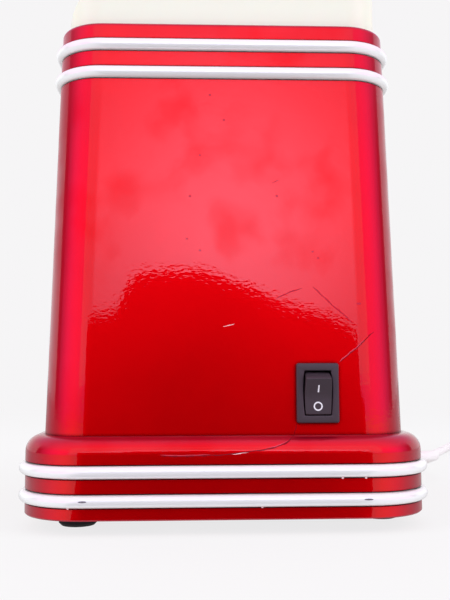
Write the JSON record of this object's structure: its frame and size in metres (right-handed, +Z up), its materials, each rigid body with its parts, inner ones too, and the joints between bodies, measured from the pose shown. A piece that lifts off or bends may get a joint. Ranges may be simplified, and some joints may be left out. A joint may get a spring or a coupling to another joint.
{
  "type": "popcorn maker",
  "caption": "Hot-air popcorn maker: a lacquered tower with bright bands, a lift-off chute hood, a measuring cup, a rocker switch and a mains cord.",
  "frame": {"origin": "on the surface that the feet stand on, under the middle of the body's box, without the cord", "axes": "+Z up, the chute faces -Y, the switch is on the +X side and the cord leaves at +Y"},
  "size_m": [0.3246, 0.3396, 0.287],
  "materials": {
    "metallic_red": "candy metallic lacquer on a moulded shell",
    "bright_band": "bright plated trim",
    "black_plastic": "fine moulded texture",
    "black_rubber": "matt moulded rubber",
    "zinc_steel": "zinc plated",
    "cream_plastic": "glossy moulded cream",
    "spun_aluminium": "spun, satin",
    "plated_steel": "plated sheet",
    "mica": "pressed mica board",
    "resistance_wire": "dull oxidised wire",
    "phenolic": "moulded phenolic",
    "plated_brass": "plated",
    "natural_nylon": "natural nylon",
    "circuit_board": "coated board",
    "ground_steel": "ground",
    "switch_nylon": "semi-gloss moulded",
    "white_pvc": "soft white jacket",
    "black_tie": "moulded tie"
  },
  "bodies": {
    "base": {"housing": "metallic_red", "tower_band_upper": "bright_band", "tower_band_lower": "bright_band", "skirt_band_upper": "bright_band", "skirt_band_lower": "bright_band", "base_plate": "black_plastic", "feet": "black_rubber", "base_screws": "zinc_steel", "top_deck": "black_plastic", "deck_screws": "zinc_steel", "popping_chamber": "spun_aluminium", "heater_can": "plated_steel", "mica_boards": "mica", "heater_coil": "resistance_wire", "thermostat": "phenolic", "thermal_fuse": "plated_brass", "air_guide": "black_plastic", "guide_screws": "zinc_steel", "motor": "plated_steel", "motor_end_cap": "natural_nylon", "motor_screws": "zinc_steel", "rectifier_board": "circuit_board", "switch_frame": "switch_nylon", "switch_terminals": "plated_brass", "strain_relief": "white_pvc", "cord_clamp": "black_plastic", "clamp_screws": "zinc_steel", "terminal_block": "natural_nylon", "inner_leads": "white_pvc", "power_cord": "white_pvc", "cord_coil": "white_pvc", "coil_tie": "black_tie", "plug_lead": "white_pvc", "plug_body": "white_pvc", "plug_pins": "plated_brass"},
    "hood": {"hood": "cream_plastic"},
    "cup": {"measuring_cup": "cream_plastic"},
    "rocker": {"switch_rocker": "switch_nylon"},
    "fan": {"impeller": "black_plastic", "motor_shaft": "ground_steel", "impeller_nut": "plated_brass"}
  },
  "joints": [
    {"name": "switch_rock", "type": "hinge", "parent": "base", "child": "rocker", "pos_m": [0.0654, 0.03914, 0.04764], "axis": [0, -1, 0], "range_deg": [0, 24]},
    {"name": "fan_spin", "type": "hinge", "parent": "base", "child": "fan", "pos_m": [0, 0.00674, 0], "axis": [0, 0, 1], "continuous": true},
    {"name": "hood_lift", "type": "slide", "parent": "base", "child": "hood", "axis": [0, 0, 1], "range_m": [0, 0.14]},
    {"name": "cup_lift", "type": "slide", "parent": "hood", "child": "cup", "axis": [0, 0, 1], "range_m": [0, 0.06]}
  ]
}
